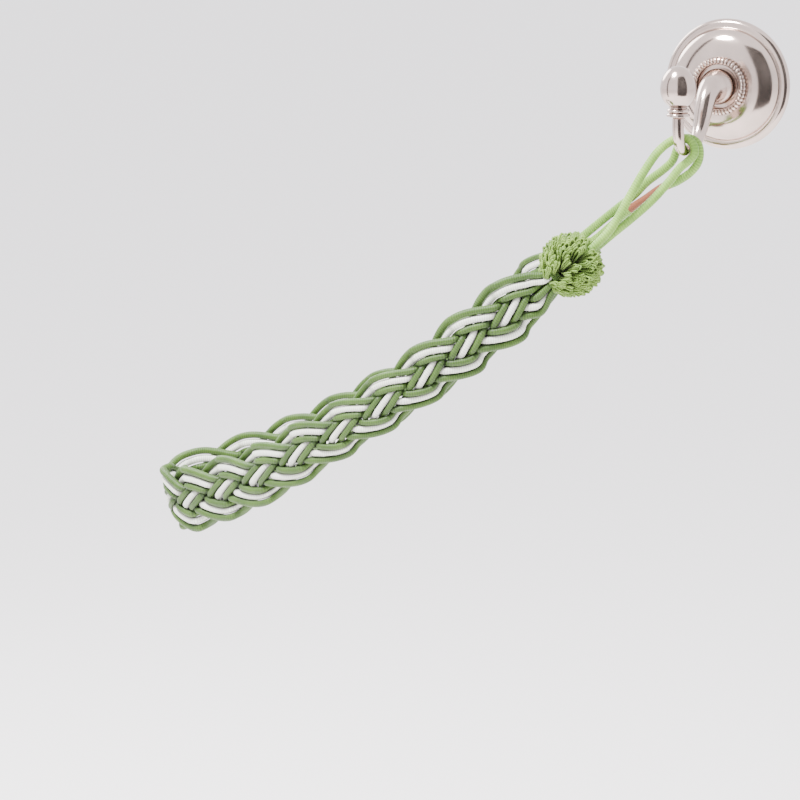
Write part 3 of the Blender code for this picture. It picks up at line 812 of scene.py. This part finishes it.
def binding(name, node, centre, way, across, mat):
    """Turns of thread wound round the neck, with domed ends."""
    way = np.array(way) / np.linalg.norm(way)
    x = np.array(across) - way * (np.array(across) @ way)
    x /= np.linalg.norm(x)
    y = np.cross(way, x)
    t = np.linspace(0.0, BIND_TURNS, BIND_TURNS * BIND_STEPS + 1)
    a = t * math.tau
    cx = np.sign(np.cos(a)) * np.abs(np.cos(a)) ** SQUARE * BIND_WIDE / 2
    cy = np.sign(np.sin(a)) * np.abs(np.sin(a)) ** SQUARE * BIND_TALL / 2
    along = (t / BIND_TURNS - 0.5) * BIND_LONG
    line = np.array(centre) + along[:, None] * way + cx[:, None] * x + cy[:, None] * y
    line = relaxed(resample(line, BIND_RING), BIND_EASE)
    side, up = frames(line)
    u = lengths(line) * 100.0
    radii = wrap(np.full((len(line), BIND_SIDES), BIND_THREAD), u, *BIND_PLY)
    radii = rounded_ends(radii, line, BIND_THREAD)
    obj = skin(name, line, side, up, radii, u, mat)
    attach(obj, "root")
    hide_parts(node)


def hanger_line(first, last, route):
    return smooth_route([first, *route, last], LOOP_SPAN) * MM


def hanger_loop(name, node, line, mat, seed):
    line = relaxed(resample(line, LOOP_RING), LOOP_EASE)
    side, up = frames(line)
    u = lengths(line) * 100.0
    radii = np.full((len(line), LOOP_SIDES), LOOP_D / 2)
    radii = wrap(radii, u, LOOP_PITCH, LOOP_DEPTH, 1, seed)
    obj = skin(name, line, side, up, radii, u, mat)
    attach(obj, "root")
    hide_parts(node)


def pompom(centre, neck, mat, core_mat):
    """Bundles of looped thread fanned out of a short crease, two lobes with a groove between."""
    centre = np.array(centre) * MM
    neck = np.array(neck) / np.linalg.norm(neck)
    rng = np.random.default_rng(POM_SEED)
    toward = np.array(POM_FACE) / np.linalg.norm(POM_FACE)
    crease_dir = -neck - toward * (-neck @ toward)
    crease_dir /= np.linalg.norm(crease_dir)
    exit_way = np.array(LOOP_EXIT) / np.linalg.norm(LOOP_EXIT)
    behind, ahead, back_in = POM_ROOTS
    root_a = centre + neck * behind * POM_R
    root_b = centre + toward * ahead * POM_R - neck * back_in * POM_R
    points, faces, uvs = [], [], []
    count = 0
    golden = math.pi * (3.0 - math.sqrt(5.0))
    lobes = np.cross(crease_dir, toward)
    for i in range(POM_BUNDLES):
        z = 1.0 - 2.0 * (i + 0.5) / POM_BUNDLES
        r = math.sqrt(1.0 - z * z)
        way = np.array((r * math.cos(i * golden), r * math.sin(i * golden), z))
        way += rng.normal(0.0, POM_STRAY, 3)
        way /= np.linalg.norm(way)
        if way @ neck > POM_BARE_NECK or way @ exit_way > POM_BARE_LOOP:
            continue
        grooved = abs(way @ lobes) < POM_GROOVE and way @ crease_dir < POM_GROOVE_END
        if way @ toward > POM_FACE_SIDE and grooved:
            continue
        share = np.clip(0.5 + 0.5 * (way @ crease_dir) + rng.normal(0.0, POM_SHARE_STRAY), 0.0, 1.0)
        root = root_a + (root_b - root_a) * share
        # the loops of a bundle lie side by side, each flat in the plane it was wound in
        flat = np.cross(way, toward) * rng.choice((-1.0, 1.0)) + rng.normal(0.0, POM_LEAN, 3)
        flat -= (flat @ way) * way
        flat /= np.linalg.norm(flat)
        beside = np.cross(way, flat)
        for k in range(POM_IN_BUNDLE):
            shift = (k - (POM_IN_BUNDLE - 1) / 2) * POM_PITCH
            tip = centre + way * POM_R * rng.uniform(*POM_REACH) + beside * shift
            start = root + beside * shift * 0.5 + rng.normal(0.0, POM_ROOT_STRAY, 3)
            out = tip - start
            reach = np.linalg.norm(out)
            swell = (way - out / reach * (way @ out / reach)) * reach * POM_SWELL
            wide = rng.uniform(*POM_WIDE) * MM
            loop = []
            for t, w in POM_LOOP:
                mid = start + out * t + swell * 4.0 * t * (1.0 - min(t, 1.0))
                loop.append((mid, w * wide))
            left = [p + flat * w for p, w in loop]
            right = [p - flat * w for p, w in loop[-2::-1]]
            line = smooth_route(left + right, POM_SPAN)
            side, up = frames(line)
            u = lengths(line) * 100.0
            radii = np.full((len(line), POM_SIDES), POM_THREAD * rng.uniform(*POM_THREAD_SPREAD))
            p, f, uv = skin_arrays(line, side, up, radii, u + rng.uniform(0.0, 4.0), count)
            points.append(p)
            faces += f
            uvs.append(uv)
            count += len(p)
    points = np.vstack(points)
    # painted shade on the loops, darker the deeper they reach inside the pompom
    reached = np.linalg.norm(points - centre, axis=1) / POM_R
    depth = np.clip(1.0 - (reached - POM_PAINTED_SHADE_FROM) / (1.0 - POM_PAINTED_SHADE_FROM), 0.0, 1.0)
    obj = mesh_object("pompom_loops", points, faces, mat, np.vstack(uvs), True, depth)
    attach(obj, "root")
    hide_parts("pompom")
    # the roots of the loops, which close the view through the pompom
    turn = np.linspace(0.0, math.pi, POM_CORE_RINGS)
    core_line = centre[None, :] + np.cos(turn)[:, None] * neck * POM_CORE
    radius = np.maximum(np.sin(turn), 0.02) * POM_CORE
    side, up = frames(core_line)
    bumps = 1.0 + 0.05 * rng.uniform(-1.0, 1.0, (POM_CORE_RINGS, POM_CORE_SIDES))
    radii = radius[:, None] * bumps
    core = skin("pompom_core", core_line, side, up, radii, turn * POM_CORE * 100.0, core_mat)
    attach(core, "root")


def soften(profile, rounds):
    """Rounds a profile's corners by cutting each one, ends kept."""
    pts = np.array(profile, float)
    for _ in range(rounds):
        out = [pts[0]]
        for a, b in zip(pts[:-1], pts[1:]):
            out.append(a * (1.0 - CORNER) + b * CORNER)
            out.append(a * CORNER + b * (1.0 - CORNER))
        out.append(pts[-1])
        pts = np.array(out)
    return pts


def turned(name, node, profile, origin, axis, mat, steps, teeth=0, closed=False):
    """A turned piece about an axis, its rim cut into small teeth where asked."""
    rows = len(profile)
    angle = np.arange(steps) / steps * math.tau
    axis = np.array(axis, float)
    x = np.array((1.0, 0.0, 0.0))
    y = np.cross(axis, x)
    points = []
    for r, h in profile:
        radius = np.full(steps, r)
        height = np.full(steps, h)
        if teeth:
            slot = np.clip(1.6 * np.sin(angle * teeth) - 0.3, 0.0, 1.0)
            edge = np.clip((r - TOOTH_RIM[0]) / TOOTH_RIM[1], 0.0, 1.0)
            face = np.clip((h - TOOTH_FACE[0]) / TOOTH_FACE[1], 0.0, 1.0)
            radius = radius - TOOTH_IN * edge * slot
            height = height - TOOTH_DEEP * edge * slot * face
        ring = np.cos(angle)[:, None] * x + np.sin(angle)[:, None] * y
        place = ring * radius[:, None] + height[:, None] * axis
        points.append(np.array(origin) * MM + place * MM)
    points = np.vstack(points)
    faces = []
    for i in range(rows if closed else rows - 1):
        j = (i + 1) % rows
        for k in range(steps):
            m = (k + 1) % steps
            faces.append((i * steps + k, i * steps + m, j * steps + m, j * steps + k))
    if not closed:
        faces.append(tuple(range(steps - 1, -1, -1)))
        faces.append(tuple(range((rows - 1) * steps, rows * steps)))
    obj = mesh_object(name, points, faces, mat)
    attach(obj, "root")
    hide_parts(node)


def hook(mat):
    gap = AXIS_GAP
    front = (0, -1, 0)
    flat = [(gap, 0.0), (FLAT_BACK, 0.0)]
    rosette = np.vstack([flat, soften(ROSETTE[1:-1], 3), [(gap, ROSETTE[-1][1])]])
    turned("rosette", "hook_rosette", rosette, (0, 0, 0), front, mat, ROSETTE_STEPS)
    ring = soften([*COLLAR, COLLAR[0]], 2)[:-1]
    turned("toothed_ring", "hook_ring", ring, (0, 0, 0), front, mat, RING_STEPS, RING_TEETH, True)
    finial = soften([(gap, 0.0), *FINIAL[1:-1], (gap, FINIAL[-1][1])], 3)
    base = (0.0, *FINIAL_BASE)
    turned("egg_finial", "hook_finial", finial, base, (0, 0, 1), mat, FINIAL_STEPS)
    route = smooth_route([(0.0, y, z) for y, z, _ in ARM_ROUTE], ARM_SPAN) * MM
    sizes = smooth_route([(r, 0.0, i) for i, (_, _, r) in enumerate(ARM_ROUTE)], ARM_SPAN)[:, 0] * MM
    route, sizes = resample(route, ARM_RING, sizes)
    route = relaxed(route, ARM_EASE)
    side, up = frames(route)
    radii = np.repeat(sizes[:, None], ARM_SIDES, 1)
    arm = skin("arm", route, side, up, radii, lengths(route) * 100.0, mat)
    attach(arm, "root")
    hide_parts("hook_arm")


# ---------------------------------------------------------------- stage
def stage():
    n = Nodes("pale floor")
    n.shader.inputs["Base Color"].default_value = (*FLOOR, 1.0)
    n.shader.inputs["Roughness"].default_value = MATT
    corners = [(-1, -1), (1, -1), (1, 1), (-1, 1)]
    points = [(x * FLOOR_HALF, y * FLOOR_HALF, FLOOR_LEVEL) for x, y in corners]
    floor = mesh_object("floor", points, [(0, 1, 2, 3)], n.mat, None, False)
    dark = Nodes("dark card")
    dark.shader.inputs["Base Color"].default_value = (*CARD, 1.0)
    dark.shader.inputs["Roughness"].default_value = MATT
    for name, turn, half_wide, low, high in CARDS:
        turn = math.radians(turn)
        ahead = np.array((math.sin(turn), -math.cos(turn)))
        beside = np.array((math.cos(turn), math.sin(turn))) * half_wide
        a = ahead * CARD_AWAY - beside
        b = ahead * CARD_AWAY + beside
        points = [(*a, low), (*b, low), (*b, high), (*a, high)]
        card = mesh_object(name, points, [(0, 1, 2, 3)], dark.mat, None, False)
        card.visible_camera = False
        card.visible_diffuse = False
        card.visible_shadow = False
    world = bpy.data.worlds.new("studio")
    world.use_nodes = True
    sky = world.node_tree.nodes["Background"]
    sky.inputs[0].default_value = (*WORLD, 1.0)
    sky.inputs[1].default_value = WORLD_STRENGTH
    bpy.context.scene.world = world
    for name, place, size, power in LAMPS:
        data = bpy.data.lights.new(name, "AREA")
        data.shape = "DISK"
        data.size = size
        data.energy = power
        lamp = bpy.data.objects.new(name, data)
        bpy.context.scene.collection.objects.link(lamp)
        lamp.location = place
        lamp.rotation_mode = "QUATERNION"
        lamp.rotation_quaternion = (Vector(LAMP_AIM) - Vector(place)).to_track_quat("-Z", "Y")


def main():
    camera()
    band = Band(BAND_ROUTE)
    green = yarn("green wrapped cord", GREEN_PAINTED_SHADE, GREEN, GREEN_PALE, WRAP_PITCH)
    ivory = yarn("ivory wrapped cord", IVORY_PAINTED_SHADE, IVORY, IVORY_PALE, WRAP_PITCH, rough=0.42,
                 bump=0.25)
    loops = yarn("pompom thread", POM_PAINTED_SHADE, POM, POM_PALE, 1.1, 2, rough=0.7, bump=0.6)
    # the pompom's roots take the painted shade colour as their own colour, streaked lighter
    core = yarn("pompom roots", POM_PAINTED_SHADE, POM_PAINTED_SHADE, POM, 1.1, 2, rough=0.8)
    nickel = metal("polished nickel")

    out = np.array(LOOP_EXIT) / np.linalg.norm(LOOP_EXIT)
    side = np.array((0.0, LOOP_PAIR, 0.0))
    root = np.array(POM_CENTRE) + out * LOOP_SINK
    front_line = hanger_line(root - side, root + side, FRONT_LOOP)
    apart = np.array((LOOP_PAIR, -LOOP_PAIR)) * MM
    ends = band.place(np.full(2, LOOP_BACK), apart, np.zeros(2)) / MM
    back_line = hanger_line(ends[0], ends[1], BACK_LOOP)
    s = lengths(back_line)
    stretch = []
    for point in (COPPER_FROM, COPPER_TO):
        far = np.linalg.norm(back_line - np.array(point) * MM, axis=1)
        stretch.append(float(s[np.argmin(far)]) * 100.0)
    hanger = yarn("hanger cord", HANGER_PAINTED_SHADE, HANGER_LIT_GREEN, HANGER_LIT_PALE, LOOP_PITCH, rough=0.6, groove_painted_shade=0.3)
    stained = yarn("hanger cord with undyed stretch", HANGER_PAINTED_SHADE, HANGER_LIT_GREEN, HANGER_LIT_PALE, LOOP_PITCH,
                   rough=0.6, stain=(COPPER, min(stretch), max(stretch)))
    hanger_loop("front_loop_cord", "front_hanger_loop", front_line, hanger, 31)
    hanger_loop("back_loop_cord", "back_hanger_loop", back_line, stained, 32)

    braid(band, green, ivory)
    zero = np.zeros(3)
    front = band.place(band.length - NECK_PROBES, zero, zero)
    back = band.place(NECK_PROBES, zero, zero)
    for name, node, (far, near, tip) in (
        ("front_binding_thread", "front_binding", front),
        ("back_binding_thread", "back_binding", back),
    ):
        way = (near - far) / np.linalg.norm(near - far)
        binding(name, node, tip - way * BIND_LONG * BIND_BACK, way, (-way[2], 0.0, way[0]), green)
    pompom(POM_CENTRE, front[0] - front[1], loops, core)
    hook(nickel)
    stage()


main()
